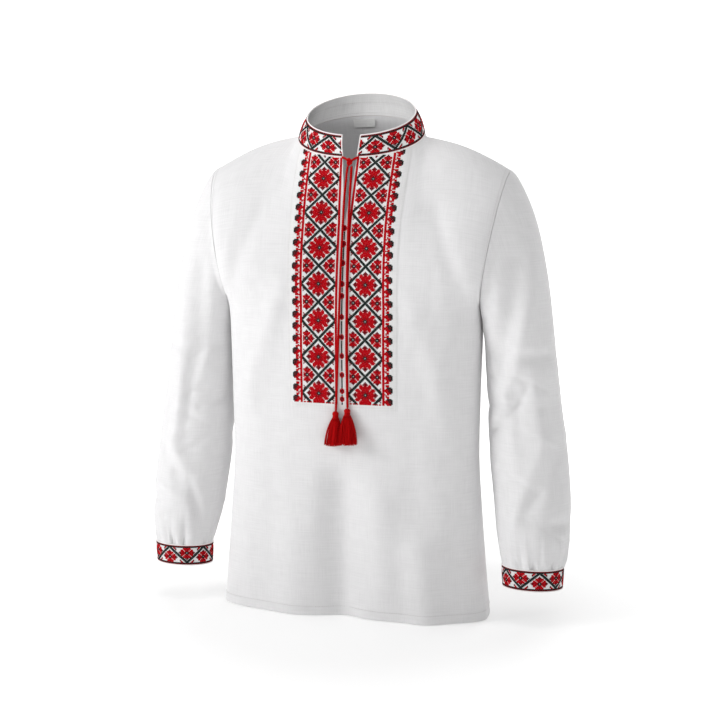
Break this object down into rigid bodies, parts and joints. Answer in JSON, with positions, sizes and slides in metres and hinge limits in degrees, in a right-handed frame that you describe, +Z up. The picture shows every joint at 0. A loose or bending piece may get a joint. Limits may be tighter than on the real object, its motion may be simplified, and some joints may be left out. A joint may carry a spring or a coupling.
{
  "type": "folk shirt",
  "caption": "Hollow embroidered linen folk shirt with a stand collar, slit neck, long cuffed sleeves and tasselled ties, held as if worn.",
  "frame": {"origin": "on the neck's axis, level with the inner ends of the shoulder seams, where a wearer's neck and shoulders hold the shirt", "axes": "+Z up, the front faces -Y, the wearer's left sleeve is at +X"},
  "size_m": [0.6988, 0.2572, 0.8362],
  "materials": {
    "linen": "plain weave, matt",
    "embroidered_linen": "cross-stitch in red, burgundy and black-green thread on white linen",
    "label_cloth": "smooth woven tape",
    "red_thread": "twisted thread"
  },
  "bodies": {
    "root": {"front": "linen", "back": "linen", "sleeve_left": "linen", "sleeve_right": "linen", "cuff_left": "embroidered_linen", "cuff_right": "embroidered_linen", "collar": "embroidered_linen", "panel": "embroidered_linen", "label": "label_cloth", "tie_knot": "red_thread", "tie_left": "red_thread", "tie_right": "red_thread", "tassel_left": "red_thread", "tassel_right": "red_thread"}
  },
  "joints": []
}
